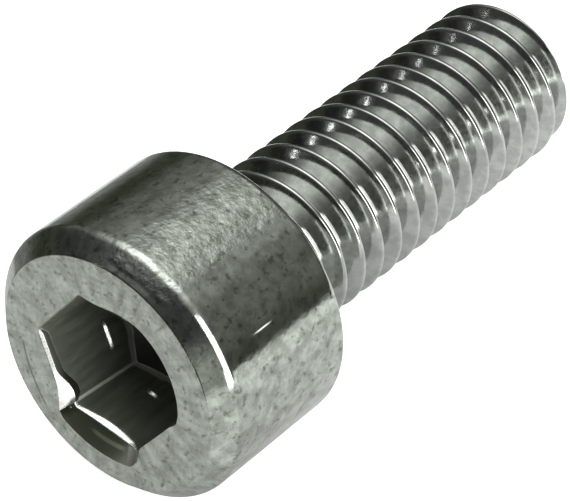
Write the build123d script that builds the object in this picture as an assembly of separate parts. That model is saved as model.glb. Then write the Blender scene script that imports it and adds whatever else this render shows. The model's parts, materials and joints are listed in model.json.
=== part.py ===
"""Hexagon socket head cap screw, fully threaded, lying at rest on a flat surface.

The screw is modelled upright about Z, from the face of its head at zero to its tip, and is then
laid down: it rests on the rear edge of its head and on the thread beside its tip.
"""
import os
from math import asin, atan2, ceil, cos, degrees, hypot, pi, radians, sin, sqrt, tan

from build123d import *

# Metric coarse thread, one start, right-hand
thread_diameter = 6.0
thread_pitch = 1.0
shank_length = 16.0
tip_chamfer = 0.6
thread_flank_angle = 30
thread_crest_share = 1 / 8
thread_depth_share = 17 / 24
pitch_line_share = 3 / 8

# Plain neck under the head, and the turns over which the thread groove fades into it
neck_length = 0.9
neck_fillet = 0.4
runout_turns = 1.6

# Cylindrical head
head_diameter = 10.0
head_height = 6.0
head_chamfer = 0.65
head_front_radius = 0.14
head_rear_radius = 0.25

# Hexagon socket, forged with a conical punch and countersunk at its mouth
socket_across_flats = 5.0
socket_depth = 3.2
socket_floor_diameter = 3.4
socket_floor_angle = 60
socket_mouth_diameter = 5.7
socket_mouth_angle = 45

# How far the hexagon and the thread are turned from the side that lies lowest, in degrees
hexagon_turn = 32.9
thread_turn = 227

# How far a cutting shape reaches past the surface that it cuts
cut_overrun = 0.05

# Spline points on each turn of the thread
points_per_turn = 16

crest_radius = thread_diameter / 2
thread_height = thread_pitch * sqrt(3) / 2
groove_depth = thread_depth_share * thread_height
neck_radius = crest_radius - pitch_line_share * thread_height
head_radius = head_diameter / 2
neck_end = head_height + neck_length
screw_length = head_height + shank_length
hexagon_radius = socket_across_flats / sqrt(3)


def turned_blank():
    """Head, neck and shank as one turned solid, before the socket and the thread are cut."""
    crest_start = neck_end + crest_radius - neck_radius
    corners = [
        ((0, 0), 0),
        ((head_radius - head_chamfer, 0), head_front_radius),
        ((head_radius, head_chamfer), head_front_radius),
        ((head_radius, head_height), head_rear_radius),
        ((neck_radius, head_height), neck_fillet),
        ((neck_radius, neck_end), 0),
        ((crest_radius, crest_start), 0),
        ((crest_radius, screw_length - tip_chamfer), 0),
        ((crest_radius - tip_chamfer, screw_length), 0),
        ((0, screw_length), 0),
    ]
    points = [point for point, _ in corners]
    radii = [radius for _, radius in corners]
    outline = FilletPolyline(*points, radius=radii, close=True)
    return revolve(Plane.XZ * make_face(outline), Axis.Z)


def socket_cutter():
    """Hexagon punch with a conical end, and the countersink that eases its mouth."""
    floor_slope = tan(radians(socket_floor_angle))
    floor_radius = socket_floor_diameter / 2
    floor_depth = socket_depth + (hexagon_radius - floor_radius) / floor_slope
    punch_radius = hexagon_radius + cut_overrun
    punch_outline = Polyline(
        (0, -cut_overrun),
        (punch_radius, -cut_overrun),
        (punch_radius, socket_depth - cut_overrun / floor_slope),
        (floor_radius, floor_depth),
        (0, floor_depth),
        close=True,
    )
    punch_end = revolve(Plane.XZ * make_face(punch_outline), Axis.Z)
    hexagon = RegularPolygon(hexagon_radius, side_count=6, rotation=hexagon_turn)
    punch = Pos(0, 0, -cut_overrun) * extrude(hexagon, amount=floor_depth + 2 * cut_overrun)

    mouth_slope = tan(radians(socket_mouth_angle))
    mouth_radius = socket_mouth_diameter / 2
    mouth_end_radius = socket_across_flats / 2 - cut_overrun
    mouth_depth = (mouth_radius - mouth_end_radius) / mouth_slope
    mouth_outline = Polyline(
        (0, -cut_overrun),
        (mouth_radius + cut_overrun * mouth_slope, -cut_overrun),
        (mouth_end_radius, mouth_depth),
        (0, mouth_depth),
        close=True,
    )
    mouth = revolve(Plane.XZ * make_face(mouth_outline), Axis.Z)
    return (punch & punch_end) + mouth


def groove_course(radius, offset, z):
    """A point on one edge of the thread groove, and the edge's direction there for each unit of z.

    The radius and the offset along the screw are those of the edge where the thread is full. Towards
    the head the groove rises out of the shank, as the tool that made it was drawn back.
    """
    fade_length = runout_turns * thread_pitch
    full_lift = groove_depth + cut_overrun
    faded = min(1, (z - neck_end) / fade_length)
    reach = radius + full_lift * (1 - faded * faded * (3 - 2 * faded))
    reach_rate = -full_lift * 6 * faded * (1 - faded) / fade_length
    turn_rate = 2 * pi / thread_pitch
    turn = radians(thread_turn) + turn_rate * (z - head_height)
    outward = Vector(cos(turn), sin(turn), 0)
    around = Vector(-sin(turn), cos(turn), 0)
    along = Axis.Z.direction
    point = outward * reach + along * (z + offset)
    direction = outward * reach_rate + around * (reach * turn_rate) + along
    return point, direction


def groove_edges(radius, offset):
    """One edge of the thread groove from the neck to past the tip, as one spline for each turn."""
    turns = ceil((screw_length + thread_pitch - neck_end) / thread_pitch)
    shares = [step / points_per_turn for step in range(points_per_turn + 1)]
    edges = []
    for turn in range(turns):
        heights = [neck_end + (turn + share) * thread_pitch for share in shares]
        course = [groove_course(radius, offset, height) for height in heights]
        points = [point for point, _ in course]
        ends = [course[end][1] * thread_pitch for end in (0, -1)]
        edges.append(Edge.make_spline(points, tangents=ends, parameters=shares, scale=False))
    return edges


def groove_cutter():
    """The space between the turns of the thread, as one helical solid."""
    flank_slope = tan(radians(thread_flank_angle))
    mouth_half = (thread_pitch - thread_crest_share * thread_pitch) / 2
    outer_radius = crest_radius + cut_overrun
    outer_half = mouth_half + cut_overrun * flank_slope
    root_radius = crest_radius - groove_depth
    root_half = mouth_half - groove_depth * flank_slope
    lanes = [
        groove_edges(outer_radius, -outer_half),
        groove_edges(root_radius, -root_half),
        groove_edges(root_radius, root_half),
        groove_edges(outer_radius, outer_half),
    ]
    faces = []
    for lane, next_lane in zip(lanes, lanes[1:] + lanes[:1]):
        faces += [Face.make_surface_from_curves(*pair) for pair in zip(lane, next_lane)]
    faces.append(Face(Wire.make_polygon([lane[0] @ 0 for lane in lanes])))
    faces.append(Face(Wire.make_polygon([lane[-1] @ 1 for lane in lanes])))
    return Solid(Shell(faces))


def lay_down(upright):
    """Tip the screw onto its head's rear edge and the thread beside its tip, centred on the origin."""
    run = shank_length - tip_chamfer + head_rear_radius
    drop = head_radius - head_rear_radius - crest_radius
    tilt = atan2(drop, run) + asin(head_rear_radius / hypot(run, drop))
    lying = Rot(0, 90 + degrees(tilt), 0) * upright
    box = lying.bounding_box()
    return Pos(-box.center().X, 0, -box.min.Z) * lying


screw = turned_blank() - socket_cutter() - groove_cutter()

os.makedirs("parts", exist_ok=True)
export_step(lay_down(screw), "parts/socket_cap_screw.step")
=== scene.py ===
"""Finished look of a zinc-plated hexagon socket head cap screw, lying on a white table."""
import json
from collections import namedtuple
from math import acos, atan, cos, degrees, pi, radians, sin, sqrt, tan

import bmesh
import bpy
from mathutils import Matrix, Vector


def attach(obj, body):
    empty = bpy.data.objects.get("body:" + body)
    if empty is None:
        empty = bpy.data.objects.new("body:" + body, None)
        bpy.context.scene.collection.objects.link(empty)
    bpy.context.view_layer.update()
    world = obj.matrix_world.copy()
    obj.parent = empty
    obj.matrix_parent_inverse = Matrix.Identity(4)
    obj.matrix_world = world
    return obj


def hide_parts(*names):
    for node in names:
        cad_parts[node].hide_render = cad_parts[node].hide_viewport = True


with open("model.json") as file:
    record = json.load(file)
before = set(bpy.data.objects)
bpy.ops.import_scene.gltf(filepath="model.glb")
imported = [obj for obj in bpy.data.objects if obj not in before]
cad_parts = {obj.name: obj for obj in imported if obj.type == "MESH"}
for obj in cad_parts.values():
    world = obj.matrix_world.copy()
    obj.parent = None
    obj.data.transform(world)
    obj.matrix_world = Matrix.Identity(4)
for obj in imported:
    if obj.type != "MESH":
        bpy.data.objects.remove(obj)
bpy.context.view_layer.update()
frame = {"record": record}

MM = 0.001
NODE = "socket_cap_screw"

# Head
HEAD_RADIUS = 5.0 * MM
HEAD_HEIGHT = 6.0 * MM
HEAD_CHAMFER = 0.65 * MM
HEAD_FACE_EDGE_RADIUS = 0.1 * MM
HEAD_FRONT_RADIUS = 0.45 * MM
HEAD_REAR_RADIUS = 0.25 * MM

# Hexagon socket with a conical floor
HEXAGON_TURN = radians(32.9)
HEXAGON_APOTHEM = 2.5 * MM
HEXAGON_CORNER_RADIUS = 0.12 * MM
SOCKET_CORNER_DEPTH = 3.2 * MM
SOCKET_FLOOR_RADIUS = 1.7 * MM
SOCKET_FLOOR_ANGLE = radians(60)
SOCKET_FLOOR_EDGE = 0.3 * MM
SOCKET_WALL_FOOT = 0.1 * MM

# A feature round the socket fades in between two angles and out between two more, all in degrees from
# the screw's lowest side
STEP_FADES = [(48, 53, 70, 75), (-2, 1.5, 6, 9)]
# Pale lines painted in one corner of the socket: painted highlight
PAINTED_HIGHLIGHT_FADES = (31.8, 32.4, 33.4, 34)

# Steps that the punch left in the walls of the socket
STEP_DEPTH = 2.4 * MM
STEP_HEIGHT = 0.1 * MM
STEP_WIDTH = 0.08 * MM
STEP_RADIUS = 0.08 * MM

# The skew punch carried the socket sideways: which way, how far near the mouth, and the lean below that
DRIFT_TURN = radians(303)
DRIFT_SHIFT = 0.07 * MM
DRIFT_ONSET = 0.3 * MM
DRIFT_LEAN = 0.055

# Mouth of the socket: its edge is broken all round, and two sides have a wider bevel above a lip
EDGE_BREAK = 0.05 * MM
EDGE_BREAK_SHARES = (1, 0.5, 0.5, 1.5)
MOUTH_FOOT_RADIUS = 0.3 * MM
MOUTH_KNEE_RADIUS = 0.1 * MM
MOUTH_OUTER_RADIUS = 0.04 * MM
Bevel = namedtuple("Bevel", "fades reach slope lip_share lip_depth")
CRESCENT = Bevel((-36, -19, 28, 38), 3.5 * MM, 0.3, 0.09, 0.17 * MM)
FAR_BEVEL = Bevel((150, 212, 266, 282), 2.95 * MM, 0.8, 0.1, 0.1 * MM)
LIP_END_SHARE = 0.4

# Side of the mouth that the punch rubbed: wider and deeper at first, up to the angles that end this
RUB_FADES = (28, 38, 88, 93)
RUB_WIDTH = 0.08 * MM
RUB_EXTRA_WIDTH = 0.34 * MM
RUB_NARROWS = (30, 52)
RUB_DEPTH = 0.08 * MM
RUB_EXTRA_DEPTH = 0.34 * MM
RUB_RISES = (40, 60)
RUB_LIP_SHARE = 0.04
RUB_LIP_DEPTHS = (0.2 * MM, 0.12 * MM)

# Neck, thread and tip
NECK_RADIUS = 2.675 * MM
NECK_FILLET = 0.4 * MM
NECK_LENGTH = 0.9 * MM
CREST_RADIUS = 3.0 * MM
PITCH = 1.0 * MM
THREAD_TURN = radians(227)
FLANK_ANGLE = radians(30)
CREST_WIDTH = PITCH / 8
CREST_ROUNDING = 0.07 * MM
RUNOUT_TURNS = 1.0
SHANK_LENGTH = 16.0 * MM
TIP_CHAMFER = 0.6 * MM
TIP_EDGE = 0.05 * MM

# Rings of the tip's mesh: how far each lies short of the end, and inside the chamfer's last ring
TIP_RINGS = [(TIP_EDGE, 0), (TIP_EDGE / 3, TIP_EDGE / 2), (0, 1.5 * TIP_EDGE), (0, CREST_RADIUS / 2)]

THREAD_HEIGHT = PITCH * sqrt(3) / 2
ROOT_RADIUS = THREAD_HEIGHT / 6
SCREW_LENGTH = HEAD_HEIGHT + SHANK_LENGTH
SHANK_END = SCREW_LENGTH - TIP_EDGE
NECK_END = HEAD_HEIGHT + NECK_LENGTH
HEXAGON_RADIUS = HEXAGON_APOTHEM / cos(pi / 6)
SEAM_DEPTH = HEAD_HEIGHT + (NECK_FILLET + NECK_LENGTH) / 2

# Mesh fineness, and the places of the thread's rows between the bottom of its groove and its crest
COLUMNS_PER_SIDE = 30
ARC_STEPS = 6
RUN_STEPS = 5
GROOVE_SHARES = [0, 0.035, 0.07, 0.105, 0.14, 0.22, 0.31, 0.385, 0.415, 0.4375, 0.46, 0.5]
SPARE_TURNS = 3
ROUNDING_LIMIT_SHARE = 0.45
MERGE_DISTANCE = 0.0001 * MM

# Corners of the head's course at which a surface ends, and how far round each it does so
WALL_FOOT, STEP_FOOT, STEP_TOP, LIP_FOOT, KNEE, MOUTH = range(2, 8)
STEP_FOOT_SHARE = 0.5
STEP_TOP_SHARE = 0.3
LIP_FOOT_SHARE = 0.5
KNEE_SHARE = 0.5

# Surfaces, in the order of the screw's materials
HEAD, SOCKET, THREAD, RUB_AND_SHEEN, PAINTED_SHADE, BEVEL, PAINTED_HIGHLIGHT = range(7)

# Materials work with the place of a point in the screw's own frame, in millimetres
OWN_POINT = "own_point"

# Finishes. A noise has a size in millimetres, a detail and a roughness. A shade or a roughness of four
# numbers turns a range of values into another range.
HEAD_DARK = (0.11, 0.12, 0.098)
HEAD_PALE = (0.465, 0.502, 0.455)
HEAD_FLAKE = (0.32, 3.0, 0.55)
HEAD_FLAKE_HEIGHT = 0.03 * MM
HEAD_FLAKE_SHADE = (0.3, 0.7, 0.7, 1.0)
HEAD_FLAKE_ROUGHNESS = (0.3, 0.7, 0.16, 0.1)
HEAD_MOTTLE = (0.6, 4.0, 0.65)
HEAD_MOTTLE_SHADE = (0.33, 0.64, 0.5, 1.0)
HEAD_SPECK = (0.28, 3.0, 0.6)
HEAD_SPECK_SHADE = (0.3, 0.46, 0.25, 1.0)

# Marks on the head. A band has two ends, as turns in radians or places in millimetres, and a margin.
FLAKY_TURN = (0.0, 0.4, 0.12)
FLAKY_DEPTHS = (0.3, 5.7, 0.2)
FLAKY_ELSEWHERE = 0.15
# Painted glint: a small white, partly matt patch on the side of the head, standing in for a sparkle of light
PAINTED_GLINT_TURN = (0.942, 0.946, 0.007)
PAINTED_GLINT_DEPTHS = (2.5, 2.7, 0.5)
PAINTED_GLINT_COLOUR = (0.9, 0.9, 0.9)
PAINTED_GLINT_METALLIC = 0.3
SCRATCH_CENTRE = (-0.4, -1.6, 0)
SCRATCH_REACH = (5.28, 5.32, 0.05)
SCRATCH_ENDS = (1.0, 2.9, 0.3)
SCRATCH_SHADE = 0.3

# The socket's plate is darker than the head's: painted shade in the recess
SOCKET_DARK = (0.23, 0.244, 0.2)
SOCKET_PALE = (0.31, 0.329, 0.272)
SOCKET_METALLIC = 0.8
SOCKET_STREAK = (0.25, 3.0, 0.6)
SOCKET_STREAK_STRETCH = (1, 1, 6)
SOCKET_STREAK_HEIGHT = 0.01 * MM
SOCKET_STREAK_SHADE = (0.2, 0.8, 0.0, 1.0)
SOCKET_STREAK_ROUGHNESS = (0.3, 0.7, 0.36, 0.46)

MOUTH_DARK = (0.0, 0.0, 0.0)
MOUTH_PALE = (0.9, 0.955, 0.78)
MOUTH_ROUGHNESS = 0.15
RING_REACH = (3.0, 3.06, 0.1)
RING_ENDS = (-0.5, 0.3, 0.5)
RING_SHADE = (0.0, 1.0, 0.28, 0.7)
# Painted shade: the bevels grow darker towards one end
PAINTED_SHADE_AT_END = (-1.4, -0.8, 0.25, 1.0)

# Painted shade: a near-black metal on the floor of the socket and the lip beside its rubbed side
PAINTED_SHADE_COLOUR = (0.05, 0.05, 0.043)
PAINTED_SHADE_ROUGHNESS = 0.4
# Painted highlight: a pale matt grey along one corner of the socket and round the foot of its walls
PAINTED_HIGHLIGHT_COLOUR = (0.34, 0.352, 0.312)
PAINTED_HIGHLIGHT_ROUGHNESS = 0.5

# Bright metal: bare where the punch rubbed the mouth, and painted sheen on the crescent's lip and the wall
# steps, where highlights show
RUB_AND_SHEEN_COLOUR = (0.93, 0.94, 0.92)
RUBBED_GRAIN = (0.1, 2.0, 0.5)
RUBBED_GRAIN_HEIGHT = 0.004 * MM
RUBBED_GRAIN_ROUGHNESS = (0.3, 0.7, 0.18, 0.35)

THREAD_DARK = (0.33, 0.343, 0.326)
THREAD_PALE = (0.42, 0.437, 0.415)
THREAD_BLOTCH = (0.5, 3.0, 0.6)
THREAD_BLOTCH_HEIGHT = 0.002 * MM
THREAD_BLOTCH_SHADE = (0.35, 0.65, 0.0, 1.0)
THREAD_GRAIN = (0.16, 2.0, 0.5)
THREAD_GRAIN_HEIGHT = 0.001 * MM
THREAD_GRAIN_ROUGHNESS = (0.3, 0.7, 0.1, 0.16)

# Table, in metres. Its glow in mirrors turns a range of places into a range of strengths, beside the shank
# and before the head.
TABLE_OUTLINE = [(-0.022, 0.015), (-0.022, 0), (-0.08, -0.05), (-0.08, -0.2), (0.05, -0.2), (0.05, 0.015)]
TABLE_COLOUR = (0.7, 0.7, 0.7)
TABLE_GLOW_SEEN = 0.8
SHANK_GLOW = (-0.01, 0.015, 0.0, 0.5)
FRONT_GLOW = (-0.013, -0.009, 0.35, 0.0)
FRONT_SIDE = (-0.011, -0.003, 1.0, 0.0)

# Room: a light overhead that fades by the cosine of the angle from its centre, a wall, a foot, a corner that
# glows and a dark doorway
SKY_CENTRE = (0.15, 0.14, 0.979)
SKY_STRENGTH = 2.8
SKY_STOPS = [(0.1, 0.02), (0.55, 0.04), (0.62, 0.09), (0.72, 0.15), (0.8, 0.28), (0.87, 0.45), (0.95, 1.0)]
WALL_STARTS = (-0.2, 0.5)
WALL_COLOUR = (0.14, 0.146, 0.125)
NO_WALL_COLOUR = (0, 0, 0)
HORIZON_RISE = (0.0, 0.25)
HORIZON_COLOUR = (0.078, 0.082, 0.062)
FAR_FLOOR_DROP = (-0.45, -0.15)
FAR_FLOOR_COLOUR = (0.3, 0.305, 0.29)
CORNER_CENTRE = (-0.7, -0.712, 0.05)
CORNER_NEAR = (0.89, 1.0)
CORNER_COLOUR = (0.5, 0.515, 0.48)
DOORWAY_CENTRE = (-0.675, 0.733, 0.08)
DOORWAY_NEAR = (0.98, 0.993)
DOORWAY_SHARE = 0.4

# Lamps: the way to each, its width and height as shares of its distance, and its radiance
LAMP_DISTANCE = 1.0
LAMPS = {
    "window": ((-0.13, -0.886, 0.438), 0.8, 0.9, 5.0),
    "low_window": ((-0.19, -0.982, 0.035), 0.94, 0.17, 4.0),
    "rear_light": ((-0.76, 0.587, 0.28), 0.012, 0.12, 12.0),
    "front_light": ((-0.945, -0.317, 0.076), 0.05, 0.04, 11.0),
}

# Camera, with its tilt from straight down, its turn about the vertical, and a lens and sensor in millimetres
CAMERA_PLACE = (-55.238 * MM, -43.706 * MM, 78.239 * MM)
CAMERA_TILT = radians(42.9234)
CAMERA_TURN = radians(-50.7224)
CAMERA_LENS = 189.47
CAMERA_SENSOR = 36
CAMERA_CLIP = (0.005, 10)


def soft_least(a, b, width):
    """The lesser of two lengths, blended over a width where they meet."""
    share = max(0.0, 1 - abs(a - b) / width)
    return min(a, b) - share * share * width / 4


def ramp(value, start, end):
    """A smooth rise from 0 to 1 between two values."""
    share = max(0.0, min(1.0, (value - start) / (end - start)))
    return share * share * (3 - 2 * share)


def fade(angle, fades):
    """A share that fades in and out again at four angles in degrees."""
    rise, full, fall, end = fades
    middle = (full + fall) / 2
    off = (degrees(angle) - middle + 180) % 360 - 180 + middle
    return ramp(off, rise, full) * (1 - ramp(off, fall, end))


def within(angle, fades):
    """Whether a feature that fades in and out is more than half there."""
    return fade(angle, fades) > 0.5


def column_angles():
    """Angles of the mesh columns about the axis, crowded at the corners of the hexagon."""
    half_side = pi / 6
    angles = []
    for side in range(6):
        middle = HEXAGON_TURN + half_side * (2 * side + 1)
        for step in range(COLUMNS_PER_SIDE):
            angles.append(middle + half_side * sin((2 * step / COLUMNS_PER_SIDE - 1) * pi / 2))
    return angles


def hexagon_reach(angle):
    """Distance from the axis to the wall of the socket, round the small radius in each corner."""
    off_middle = (angle - HEXAGON_TURN) % (pi / 3) - pi / 6
    corner_centre = (HEXAGON_APOTHEM - HEXAGON_CORNER_RADIUS) / cos(pi / 6)
    flat_end = atan(corner_centre * sin(pi / 6) / HEXAGON_APOTHEM)
    if abs(off_middle) <= flat_end:
        return HEXAGON_APOTHEM / cos(off_middle)
    off_corner = pi / 6 - abs(off_middle)
    across = corner_centre * sin(off_corner)
    return corner_centre * cos(off_corner) + sqrt(HEXAGON_CORNER_RADIUS**2 - across**2)


def bevel_at(bevel, angle, wall):
    """What one bevel adds to the mouth's opening and lip, and to the depths of its knee and foot."""
    first, _, _, last = bevel.fades
    middle = (first + last) / 2
    share = fade(angle, bevel.fades)
    bow = share * (LIP_END_SHARE + (1 - LIP_END_SHARE) * fade(angle, (first, middle, middle, last)))
    width = (bevel.reach - wall) * share
    drop = width * (1 - bevel.lip_share) * bevel.slope
    return width, width * bevel.lip_share * bow, drop, drop + bevel.lip_depth * bow


def rub_at(angle):
    """What the rubbed side adds to the mouth's opening, lip and knee, and how far its foot lies lower."""
    share = fade(angle, RUB_FADES)
    turn = (degrees(angle) + 180) % 360 - 180
    width = share * (RUB_WIDTH + RUB_EXTRA_WIDTH * (1 - ramp(turn, *RUB_NARROWS)))
    drop = share * (RUB_DEPTH + RUB_EXTRA_DEPTH * (1 - ramp(turn, *RUB_RISES)))
    along = (turn - RUB_FADES[0]) / (RUB_FADES[-1] - RUB_FADES[0])
    lip_start, lip_end = RUB_LIP_DEPTHS
    return width, width * RUB_LIP_SHARE, drop, share * (lip_start + (lip_end - lip_start) * along)


def mouth_shape(angle, wall):
    """The mouth's opening past the wall, the width of its lip, and the depths of its knee and foot."""
    parts = [[EDGE_BREAK * share for share in EDGE_BREAK_SHARES]]
    parts += [bevel_at(bevel, angle, wall) for bevel in (CRESCENT, FAR_BEVEL)]
    opening, lip, knee, foot = (sum(lengths) for lengths in zip(*parts))
    rub_width, rub_lip, rub_drop, rub_foot = rub_at(angle)
    knee += rub_drop
    return opening + rub_width, lip + rub_lip, knee, max(foot, knee + EDGE_BREAK) + rub_foot


def drift(depth):
    """How far sideways the socket lies at a depth."""
    reach = DRIFT_SHIFT * min(1, depth / DRIFT_ONSET) + DRIFT_LEAN * depth
    return Vector((reach * cos(DRIFT_TURN), reach * sin(DRIFT_TURN), 0))


def rounded_course(corners):
    """Points along a course of straight runs whose corners are rounded, as many for any set of corners."""
    points = [Vector(corners[0][:2])]
    for before, corner, after in zip(corners, corners[1:], corners[2:]):
        here = Vector(corner[:2])
        back = Vector(before[:2]) - here
        on = Vector(after[:2]) - here
        half = acos(max(-1, min(1, back.normalized().dot(on.normalized())))) / 2
        cut = min(corner[2] / tan(half), ROUNDING_LIMIT_SHARE * min(back.length, on.length))
        start = here + back.normalized() * cut
        end = here + on.normalized() * cut
        for step in range(1, RUN_STEPS):
            points.append(points[-1].lerp(start, 1 / (RUN_STEPS - step + 1)))
        for step in range(ARC_STEPS + 1):
            share = step / ARC_STEPS
            points.append(start.lerp(here, share).lerp(here.lerp(end, share), share))
    points.append(Vector(corners[-1][:2]))
    return points


def head_course(angle):
    """Reach and depth of one mesh column from the socket's floor over the head to the neck."""
    wall = hexagon_reach(angle)
    slope = tan(SOCKET_FLOOR_ANGLE)
    floor_depth = SOCKET_CORNER_DEPTH + (HEXAGON_RADIUS - SOCKET_FLOOR_RADIUS) / slope
    wall_depth = SOCKET_CORNER_DEPTH + (HEXAGON_RADIUS - wall) / slope
    step = STEP_WIDTH * max(fade(angle, fades) for fades in STEP_FADES)
    opening, lip, knee, foot = mouth_shape(angle, wall)
    return rounded_course(
        [
            (0, floor_depth, 0),
            (SOCKET_FLOOR_RADIUS, floor_depth, SOCKET_FLOOR_EDGE),
            (wall - step, wall_depth, SOCKET_WALL_FOOT),
            (wall - step, STEP_DEPTH + STEP_HEIGHT, STEP_RADIUS),
            (wall, STEP_DEPTH, STEP_RADIUS),
            (wall, foot, MOUTH_FOOT_RADIUS),
            (wall + lip, knee, MOUTH_KNEE_RADIUS),
            (wall + opening, 0, MOUTH_OUTER_RADIUS),
            (HEAD_RADIUS - HEAD_CHAMFER, 0, HEAD_FACE_EDGE_RADIUS),
            (HEAD_RADIUS, HEAD_CHAMFER, HEAD_FRONT_RADIUS),
            (HEAD_RADIUS, HEAD_HEIGHT, HEAD_REAR_RADIUS),
            (NECK_RADIUS, HEAD_HEIGHT, NECK_FILLET),
            (NECK_RADIUS, SEAM_DEPTH, 0),
        ]
    )


def arc_row(corner, share):
    """The mesh row that lies part of the way round a corner of the head's course."""
    return corner * (RUN_STEPS + ARC_STEPS) - round(ARC_STEPS * (1 - share))


def blank_reach(depth):
    """Radius of the neck, shank and tip before the thread is rolled into them."""
    rise = NECK_RADIUS + max(0, depth - NECK_END)
    fall = CREST_RADIUS - (depth - (SCREW_LENGTH - TIP_CHAMFER))
    return soft_least(soft_least(rise, CREST_RADIUS, CREST_ROUNDING), fall, CREST_ROUNDING)


def groove_reach(angle, depth):
    """Radius of the thread groove nearest to a point, which rises out of the shank towards the head."""
    along = depth - HEAD_HEIGHT - PITCH * (angle - THREAD_TURN) / (2 * pi)
    off = (along + PITCH / 2) % PITCH - PITCH / 2
    lift = THREAD_HEIGHT * (1 - ramp(depth - off, NECK_END, NECK_END + RUNOUT_TURNS * PITCH))
    mouth_half = (PITCH - CREST_WIDTH) / 2
    apex = CREST_RADIUS - mouth_half / tan(FLANK_ANGLE)
    if abs(off) < ROOT_RADIUS * cos(FLANK_ANGLE):
        return lift + apex + ROOT_RADIUS / sin(FLANK_ANGLE) - sqrt(ROOT_RADIUS**2 - off**2)
    return lift + apex + abs(off) / tan(FLANK_ANGLE)


def shank_reach(angle, depth):
    """Radius of the finished shank at a point."""
    return soft_least(blank_reach(depth), groove_reach(angle, depth), CREST_ROUNDING)


def thread_offsets():
    """Offsets along the screw of the mesh rows in one pitch, from one crest to the next."""
    before = [-share * PITCH for share in reversed(GROOVE_SHARES)]
    after = [share * PITCH for share in GROOVE_SHARES]
    return before[:-1] + after[:-1]


def shank_rows():
    """Place along the screw of every mesh row of the thread, from its first groove."""
    turns = int((SCREW_LENGTH - SEAM_DEPTH) / PITCH) + SPARE_TURNS
    return [turn * PITCH + offset for turn in range(turns) for offset in thread_offsets()]


def first_groove(angle):
    """Depth at which the groove first crosses an angle, a turn or more before the shank's mesh starts."""
    depth = HEAD_HEIGHT + PITCH * (angle - THREAD_TURN) / (2 * pi)
    return depth + PITCH * (int((SEAM_DEPTH - depth) / PITCH) - 1)


def own_place(angle, reach, depth):
    """A point in the screw's own frame, with Z along its axis."""
    return Vector((reach * cos(angle), reach * sin(angle), depth))


def mouth_surface(on_lip, angle):
    """Which surface a face of the socket's mouth belongs to."""
    if within(angle, RUB_FADES):
        # The lip beside the rubbed side is painted shade
        return PAINTED_SHADE if on_lip else RUB_AND_SHEEN
    if on_lip:
        # The crescent's lip takes the bright metal as a painted sheen
        return RUB_AND_SHEEN if within(angle, CRESCENT.fades) else SOCKET
    return BEVEL


def wall_surface(row, angle):
    """Which surface a face of the socket's walls belongs to."""
    # The foot of the walls and one corner are painted highlight
    if row < arc_row(WALL_FOOT, 1) or within(angle, PAINTED_HIGHLIGHT_FADES):
        return PAINTED_HIGHLIGHT
    on_step = arc_row(STEP_FOOT, STEP_FOOT_SHARE) <= row < arc_row(STEP_TOP, STEP_TOP_SHARE)
    # The wall steps take the bright metal as a painted sheen
    if on_step and any(within(angle, fades) for fades in STEP_FADES):
        return RUB_AND_SHEEN
    return SOCKET


def head_surface(row, angle):
    """Which surface a face of the head or its socket belongs to."""
    # The floor of the socket is painted shade
    if row < arc_row(WALL_FOOT, 0):
        return PAINTED_SHADE
    if row < arc_row(LIP_FOOT, LIP_FOOT_SHARE):
        return wall_surface(row, angle)
    if row < arc_row(MOUTH, 0):
        return mouth_surface(row < arc_row(KNEE, KNEE_SHARE), angle)
    return HEAD


def join_rings(mesh, ring, next_ring):
    """A face for each mesh column between two closed rings of vertices."""
    sides = list(zip(ring, next_ring))
    turned_on = sides[1:] + sides[:1]
    return [mesh.faces.new((*here, *reversed(there))) for here, there in zip(sides, turned_on)]


def close_ring(mesh, ring, centre, surface):
    """A fan of faces that closes a ring of vertices round a point on the axis."""
    middle = mesh.verts.new(centre)
    for here, there in zip(ring, ring[1:] + ring[:1]):
        mesh.faces.new((middle, here, there)).material_index = surface


def add_head(mesh, angles):
    """The socket, the head and the neck."""
    courses = [head_course(angle) for angle in angles]
    rings = []
    for row in range(1, len(courses[0])):
        points = [own_place(angle, *course[row]) for angle, course in zip(angles, courses)]
        if row <= arc_row(MOUTH, 0):
            points = [point + drift(point.z) for point in points]
        rings.append([mesh.verts.new(point) for point in points])
    floor_depth = courses[0][0].y
    # The middle of the socket's floor is painted shade as well
    close_ring(mesh, rings[0], Vector((0, 0, floor_depth)) + drift(floor_depth), PAINTED_SHADE)
    for row, pair in enumerate(zip(rings, rings[1:])):
        for angle, face in zip(angles, join_rings(mesh, *pair)):
            face.material_index = head_surface(row, angle)


def add_shank(mesh, angles):
    """The thread, as rows that follow its helix, from the neck to the edge of the tip."""
    start = first_groove(angles[0])
    columns = []
    for angle in angles:
        lead = start + PITCH * (angle - angles[0]) / (2 * pi)
        depths = [max(SEAM_DEPTH, min(SHANK_END, lead + row)) for row in shank_rows()]
        points = [own_place(angle, shank_reach(angle, depth), depth) for depth in depths]
        columns.append([mesh.verts.new(point) for point in points])
    a_turn_on = columns[0][len(thread_offsets()):]
    for here, there in zip(columns, columns[1:] + [a_turn_on]):
        for corners in zip(here, here[1:], there[1:], there):
            mesh.faces.new(corners).material_index = THREAD


def add_tip(mesh, angles):
    """The flat end of the screw inside the tip's chamfer."""
    rings = []
    for short, inset in TIP_RINGS:
        reaches = [shank_reach(angle, SHANK_END) - inset for angle in angles]
        points = [own_place(angle, reach, SCREW_LENGTH - short) for angle, reach in zip(angles, reaches)]
        rings.append([mesh.verts.new(point) for point in points])
    for pair in zip(rings, rings[1:]):
        join_rings(mesh, *pair)
    close_ring(mesh, rings[-1], (0, 0, SCREW_LENGTH), HEAD)


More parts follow.
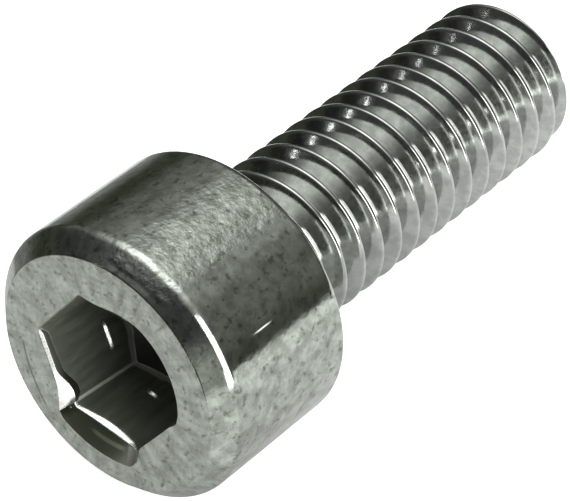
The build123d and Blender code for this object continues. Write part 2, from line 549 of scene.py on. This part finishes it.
def screw_placement():
    """From the screw's own frame, with the face of its head at zero, to where it lies."""
    mounts = {mount["name"]: mount for mount in frame["record"]["mounts"]}
    face = mounts["hexagon_socket"]
    along = -Vector(face["axis"]).normalized()
    side = Vector((0, 1, 0))
    low = side.cross(along)
    turn = Matrix((low, side, along)).transposed().to_4x4()
    return Matrix.Translation(face["pos_m"]) @ turn


def keep_own_points(data):
    """Each vertex keeps its place in the screw's own frame, in millimetres, for the materials."""
    own = data.attributes.new(OWN_POINT, "FLOAT_VECTOR", "POINT")
    for vertex, value in zip(data.vertices, own.data):
        value.vector = vertex.co / MM


def weigh_normals(data):
    """Shading normals weighed by area, so that flats stay flat beside their rounded edges."""
    sums = [Vector() for _ in data.vertices]
    for face in data.polygons:
        for index in face.vertices:
            sums[index] += face.normal * face.area
    data.normals_split_custom_set_from_vertices([total.normalized() for total in sums])


def screw_skin():
    """The whole screw as one closed mesh, in its place."""
    mesh = bmesh.new()
    angles = column_angles()
    add_head(mesh, angles)
    add_shank(mesh, angles)
    add_tip(mesh, angles)
    bmesh.ops.remove_doubles(mesh, verts=mesh.verts, dist=MERGE_DISTANCE)
    bmesh.ops.dissolve_degenerate(mesh, edges=mesh.edges, dist=MERGE_DISTANCE)
    bmesh.ops.recalc_face_normals(mesh, faces=mesh.faces)
    for face in mesh.faces:
        face.smooth = True
    data = bpy.data.meshes.new("screw_skin")
    mesh.to_mesh(data)
    mesh.free()
    keep_own_points(data)
    data.transform(screw_placement())
    weigh_normals(data)
    return data


def build_screw():
    """The screw, with a material for each of its surfaces."""
    data = screw_skin()
    for finish in (head_plate, socket_plate, thread_plate, rubbed_edge_and_sheen, painted_shade_plate, mouth_plate, painted_highlight_plate):
        data.materials.append(finish())
    screw = bpy.data.objects.new("screw", data)
    bpy.context.scene.collection.objects.link(screw)
    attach(screw, "root")
    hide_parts(NODE)


def add_node(tree, kind, inputs=(), **settings):
    """A shader node; an input is a value, or an output of another node that is linked to it."""
    made = tree.nodes.new("ShaderNode" + kind)
    for name, value in settings.items():
        setattr(made, name, value)
    for name, value in dict(inputs).items():
        if isinstance(value, bpy.types.NodeSocket):
            tree.links.new(value, made.inputs[name])
        else:
            made.inputs[name].default_value = value
    return made


def noise(tree, point, size, detail, roughness, stretch=None):
    """Noise from 0 to 1 whose blotches are about one size across, drawn out by a stretch."""
    if stretch:
        point = add_node(tree, "VectorMath", {0: point, 1: stretch}, operation="DIVIDE").outputs["Vector"]
    values = {"Vector": point, "Scale": 1 / size, "Detail": detail, "Roughness": roughness}
    return add_node(tree, "TexNoise", values).outputs["Fac"]


def spread(tree, value, low, high, to_low, to_high):
    """A value moved smoothly from one range to another and held at its ends."""
    values = {"Value": value, "From Min": low, "From Max": high, "To Min": to_low, "To Max": to_high}
    return add_node(tree, "MapRange", values, interpolation_type="SMOOTHSTEP").outputs["Result"]


def product(tree, a, b):
    """Two values multiplied."""
    return add_node(tree, "Math", {0: a, 1: b}, operation="MULTIPLY").outputs[0]


def band(tree, value, low, high, margin):
    """A share that is 1 between two values and fades to 0 over a margin past them."""
    rise = spread(tree, value, low - margin, low, 0.0, 1.0)
    fall = spread(tree, value, high, high + margin, 1.0, 0.0)
    return product(tree, rise, fall)


def part_of(tree, vector, axis):
    """One part of a vector."""
    return add_node(tree, "SeparateXYZ", {0: vector}).outputs[axis]


def blend(tree, share, first, second):
    """A colour between two, each of them a colour or an output of another node."""
    mix = add_node(tree, "Mix", {0: share}, data_type="RGBA")
    colours = [socket for socket in mix.inputs if socket.type == "RGBA"]
    for socket, colour in zip(colours, (first, second)):
        if isinstance(colour, bpy.types.NodeSocket):
            tree.links.new(colour, socket)
        else:
            socket.default_value = (*colour, 1)
    return next(socket for socket in mix.outputs if socket.type == "RGBA")


def bumped(tree, height, distance, under=None):
    """A surface normal bumped by a height from 0 to 1 over a distance, on top of another normal."""
    values = {"Height": height, "Distance": distance, "Strength": 1.0}
    if under:
        values["Normal"] = under
    return add_node(tree, "Bump", values).outputs["Normal"]


def metal(name):
    """A metal material, its node tree, the inputs of its shader and the place of each point."""
    material = bpy.data.materials.new(name)
    material.use_nodes = True
    tree = material.node_tree
    inputs = tree.nodes["Principled BSDF"].inputs
    inputs["Metallic"].default_value = 1.0
    point = add_node(tree, "Attribute", attribute_name=OWN_POINT).outputs["Vector"]
    return material, tree, inputs, point


def side_patch(tree, point, turns, depths):
    """A share that is 1 in a patch on the side of the head, by its turn from the top and its depth."""
    back = add_node(tree, "VectorMath", {0: point, 1: (-1, -1, 0)}, operation="MULTIPLY").outputs["Vector"]
    ways = {0: part_of(tree, back, "Y"), 1: part_of(tree, back, "X")}
    turn = add_node(tree, "Math", ways, operation="ARCTAN2").outputs[0]
    return product(tree, band(tree, turn, *turns), band(tree, part_of(tree, point, "Z"), *depths))


def scratch(tree, point):
    """A share that is 1 along an arc scratched in the face of the head."""
    off = add_node(tree, "VectorMath", {0: point, 1: SCRATCH_CENTRE}, operation="DISTANCE").outputs["Value"]
    ends = band(tree, part_of(tree, point, "X"), *SCRATCH_ENDS)
    return product(tree, band(tree, off, *SCRATCH_REACH), ends)


def head_shade(tree, point, flake):
    """How pale the head's plate is: mottled and flaky, with dark specks and a scratch."""
    mottle = spread(tree, noise(tree, point, *HEAD_MOTTLE), *HEAD_MOTTLE_SHADE)
    speck = spread(tree, noise(tree, point, *HEAD_SPECK), *HEAD_SPECK_SHADE)
    shade = product(tree, product(tree, speck, mottle), spread(tree, flake, *HEAD_FLAKE_SHADE))
    return product(tree, shade, spread(tree, scratch(tree, point), 0.0, 1.0, 1.0, SCRATCH_SHADE))


def head_plate():
    """Zinc plate on the forged head, with flakes on one side and a painted glint: a small white patch."""
    material, tree, inputs, point = metal("zinc_plate_head")
    flake = noise(tree, point, *HEAD_FLAKE)
    # A painted glint: a white patch in place of a sparkle of light
    painted_glint = side_patch(tree, point, PAINTED_GLINT_TURN, PAINTED_GLINT_DEPTHS)
    flaky = side_patch(tree, point, FLAKY_TURN, FLAKY_DEPTHS)
    plate = blend(tree, head_shade(tree, point, flake), HEAD_DARK, HEAD_PALE)
    height = product(tree, flake, spread(tree, flaky, 0.0, 1.0, FLAKY_ELSEWHERE, 1.0))
    tree.links.new(blend(tree, painted_glint, plate, PAINTED_GLINT_COLOUR), inputs["Base Color"])
    tree.links.new(spread(tree, painted_glint, 0.0, 1.0, 1.0, PAINTED_GLINT_METALLIC), inputs["Metallic"])
    tree.links.new(spread(tree, flake, *HEAD_FLAKE_ROUGHNESS), inputs["Roughness"])
    tree.links.new(bumped(tree, height, HEAD_FLAKE_HEIGHT), inputs["Normal"])
    return material


def socket_plate():
    """Zinc plate on the walls of the punched socket: satin, streaked along the punch's way, and darker as
    painted shade.
    """
    material, tree, inputs, point = metal("zinc_plate_socket")
    streak = noise(tree, point, *SOCKET_STREAK, SOCKET_STREAK_STRETCH)
    shade = spread(tree, streak, *SOCKET_STREAK_SHADE)
    tree.links.new(blend(tree, shade, SOCKET_DARK, SOCKET_PALE), inputs["Base Color"])
    inputs["Metallic"].default_value = SOCKET_METALLIC
    tree.links.new(spread(tree, streak, *SOCKET_STREAK_ROUGHNESS), inputs["Roughness"])
    tree.links.new(bumped(tree, streak, SOCKET_STREAK_HEIGHT), inputs["Normal"])
    return material


def mouth_plate():
    """Zinc plate on the bevels of the socket's mouth, darker towards one end as painted shade, with a paler
    ring.
    """
    material, tree, inputs, point = metal("zinc_plate_mouth")
    flat = add_node(tree, "VectorMath", {0: point, 1: (1, 1, 0)}, operation="MULTIPLY").outputs["Vector"]
    reach = add_node(tree, "VectorMath", {0: flat}, operation="LENGTH").outputs["Value"]
    across = part_of(tree, point, "Y")
    ring = product(tree, band(tree, reach, *RING_REACH), band(tree, across, *RING_ENDS))
    shade = product(tree, spread(tree, ring, *RING_SHADE), spread(tree, across, *PAINTED_SHADE_AT_END))
    tree.links.new(blend(tree, shade, MOUTH_DARK, MOUTH_PALE), inputs["Base Color"])
    inputs["Roughness"].default_value = MOUTH_ROUGHNESS
    return material


def painted_shade_plate():
    """Near-black metal, painted shade on the floor of the socket and on the lip beside its rubbed side."""
    material, _, inputs, _ = metal("painted_shade_floor")
    inputs["Base Color"].default_value = (*PAINTED_SHADE_COLOUR, 1)
    inputs["Roughness"].default_value = PAINTED_SHADE_ROUGHNESS
    return material


def painted_highlight_plate():
    """Pale matt grey in one corner of the socket and round the foot of its walls: painted highlights on
    these edges.
    """
    material, _, inputs, _ = metal("painted_highlight_lines")
    inputs["Base Color"].default_value = (*PAINTED_HIGHLIGHT_COLOUR, 1)
    inputs["Metallic"].default_value = 0.0
    inputs["Roughness"].default_value = PAINTED_HIGHLIGHT_ROUGHNESS
    return material


def rubbed_edge_and_sheen():
    """Bright metal: bare where the punch rubbed the mouth, painted sheen on the crescent's lip and the wall
    steps.
    """
    material, tree, inputs, point = metal("rubbed_edge_and_sheen")
    grain = noise(tree, point, *RUBBED_GRAIN)
    inputs["Base Color"].default_value = (*RUB_AND_SHEEN_COLOUR, 1)
    tree.links.new(spread(tree, grain, *RUBBED_GRAIN_ROUGHNESS), inputs["Roughness"])
    tree.links.new(bumped(tree, grain, RUBBED_GRAIN_HEIGHT), inputs["Normal"])
    return material


def thread_plate():
    """Zinc plate on the rolled thread: smooth and bright, a little uneven."""
    material, tree, inputs, point = metal("zinc_plate_thread")
    blotch = noise(tree, point, *THREAD_BLOTCH)
    grain = noise(tree, point, *THREAD_GRAIN)
    shade = spread(tree, blotch, *THREAD_BLOTCH_SHADE)
    uneven = bumped(tree, blotch, THREAD_BLOTCH_HEIGHT)
    tree.links.new(blend(tree, shade, THREAD_DARK, THREAD_PALE), inputs["Base Color"])
    tree.links.new(spread(tree, grain, *THREAD_GRAIN_ROUGHNESS), inputs["Roughness"])
    tree.links.new(bumped(tree, grain, THREAD_GRAIN_HEIGHT, uneven), inputs["Normal"])
    return material


def table_glow(tree):
    """How much the table glows in mirrors: beside the shank, and before the lower edge of the head."""
    place = add_node(tree, "NewGeometry").outputs["Position"]
    along = part_of(tree, place, "X")
    shank = spread(tree, along, *SHANK_GLOW)
    front = spread(tree, along, *FRONT_GLOW)
    side = spread(tree, part_of(tree, place, "Y"), *FRONT_SIDE)
    return add_node(tree, "Math", {0: front, 1: side, 2: shank}, operation="MULTIPLY_ADD").outputs[0]


def white_table():
    """A matt white that also glows, so that it shows as white and still takes a shadow."""
    material = bpy.data.materials.new("white_table")
    material.use_nodes = True
    tree = material.node_tree
    tree.nodes.clear()
    path = add_node(tree, "LightPath").outputs
    mirrored = product(tree, path["Is Glossy Ray"], table_glow(tree))
    seen = {0: path["Is Camera Ray"], 1: TABLE_GLOW_SEEN, 2: mirrored}
    strength = add_node(tree, "Math", seen, operation="MULTIPLY_ADD").outputs[0]
    glow = add_node(tree, "Emission", {"Strength": strength}).outputs[0]
    matt = add_node(tree, "BsdfDiffuse", {"Color": (*TABLE_COLOUR, 1)}).outputs[0]
    both = add_node(tree, "AddShader", {0: glow, 1: matt}).outputs[0]
    add_node(tree, "OutputMaterial", {"Surface": both})
    return material


def build_floor():
    """The table that the screw lies on."""
    mesh = bmesh.new()
    mesh.faces.new([mesh.verts.new((*corner, 0)) for corner in TABLE_OUTLINE])
    data = bpy.data.meshes.new("table")
    mesh.to_mesh(data)
    mesh.free()
    data.materials.append(white_table())
    floor = bpy.data.objects.new("table", data)
    bpy.context.scene.collection.objects.link(floor)


def nearness(tree, way, centre):
    """The cosine of the angle between a way into the room and the centre of something there."""
    return add_node(tree, "VectorMath", {0: way, 1: centre}, operation="DOT_PRODUCT").outputs["Value"]


def sky(tree, way):
    """A soft light overhead that fades away from its centre."""
    steps = add_node(tree, "ValToRGB", {0: nearness(tree, way, SKY_CENTRE)})
    stops = steps.color_ramp.elements
    for near, _ in SKY_STOPS[1:-1]:
        stops.new(near)
    for stop, (near, level) in zip(stops, SKY_STOPS):
        stop.position = near
        stop.color = (level, level, level, 1)
    return steps.outputs["Color"]


def foot_of_room(tree, way):
    """The dim foot of the room, and the paler floor past the table."""
    rise = spread(tree, part_of(tree, way, "Z"), *FAR_FLOOR_DROP, 0.0, 1.0)
    return blend(tree, rise, FAR_FLOOR_COLOUR, HORIZON_COLOUR)


def top_of_room(tree, way):
    """The light overhead and a dim wall on one side."""
    across = spread(tree, part_of(tree, way, "X"), *WALL_STARTS, 0.0, 1.0)
    wall = blend(tree, across, NO_WALL_COLOUR, WALL_COLOUR)
    values = {0: sky(tree, way), 1: (SKY_STRENGTH,) * 3, 2: wall}
    return add_node(tree, "VectorMath", values, operation="MULTIPLY_ADD").outputs["Vector"]


def scaled(tree, vector, scale):
    """A vector or a colour multiplied by a number."""
    return add_node(tree, "VectorMath", {0: vector, "Scale": scale}, operation="SCALE").outputs["Vector"]


def room(tree, way):
    """The whole room round the screw: one corner glows and a doorway is dark."""
    rise = spread(tree, part_of(tree, way, "Z"), *HORIZON_RISE, 0.0, 1.0)
    plain = blend(tree, rise, foot_of_room(tree, way), top_of_room(tree, way))
    glow = spread(tree, nearness(tree, way, CORNER_CENTRE), *CORNER_NEAR, 0.0, 1.0)
    corner = scaled(tree, CORNER_COLOUR, glow)
    lit = add_node(tree, "VectorMath", {0: plain, 1: corner}, operation="ADD").outputs["Vector"]
    doorway = spread(tree, nearness(tree, way, DOORWAY_CENTRE), *DOORWAY_NEAR, 1.0, DOORWAY_SHARE)
    return scaled(tree, lit, doorway)


def build_world():
    """The room lights the screw and is mirrored in it; the camera sees white in its place."""
    world = bpy.data.worlds.new("room")
    bpy.context.scene.world = world
    world.use_nodes = True
    tree = world.node_tree
    tree.nodes.clear()
    way = add_node(tree, "TexCoord").outputs["Generated"]
    lit = add_node(tree, "Background", {"Color": room(tree, way)}).outputs[0]
    white = add_node(tree, "Background", {"Color": (1, 1, 1, 1)}).outputs[0]
    seen = add_node(tree, "LightPath").outputs["Is Camera Ray"]
    both = add_node(tree, "MixShader", {0: seen, 1: lit, 2: white}).outputs[0]
    add_node(tree, "OutputWorld", {"Surface": both})


def add_lamp(name, direction, width, height, radiance):
    """A rectangular lamp that faces the screw from a direction."""
    lamp = bpy.data.lights.new(name, "AREA")
    lamp.shape = "RECTANGLE"
    lamp.size = width * LAMP_DISTANCE
    lamp.size_y = height * LAMP_DISTANCE
    lamp.energy = radiance * pi * lamp.size * lamp.size_y
    holder = bpy.data.objects.new(name, lamp)
    towards = Vector(direction).normalized()
    holder.location = towards * LAMP_DISTANCE
    holder.rotation_mode = "QUATERNION"
    holder.rotation_quaternion = towards.to_track_quat("Z", "Y")
    bpy.context.scene.collection.objects.link(holder)


def build_lamps():
    """A tall window beside the screw with a low strip under it, and two small far lights."""
    for name, values in LAMPS.items():
        add_lamp(name, *values)


def build_camera():
    """The photograph's view: a long lens above and beside the head."""
    data = bpy.data.cameras.new("camera")
    data.sensor_width = CAMERA_SENSOR
    data.lens = CAMERA_LENS
    data.clip_start, data.clip_end = CAMERA_CLIP
    camera = bpy.data.objects.new("camera", data)
    camera.location = CAMERA_PLACE
    camera.rotation_euler = (CAMERA_TILT, 0, CAMERA_TURN)
    bpy.context.scene.collection.objects.link(camera)
    bpy.context.scene.camera = camera


build_screw()
build_floor()
build_world()
build_lamps()
build_camera()
bpy.context.scene.view_settings.view_transform = "Standard"
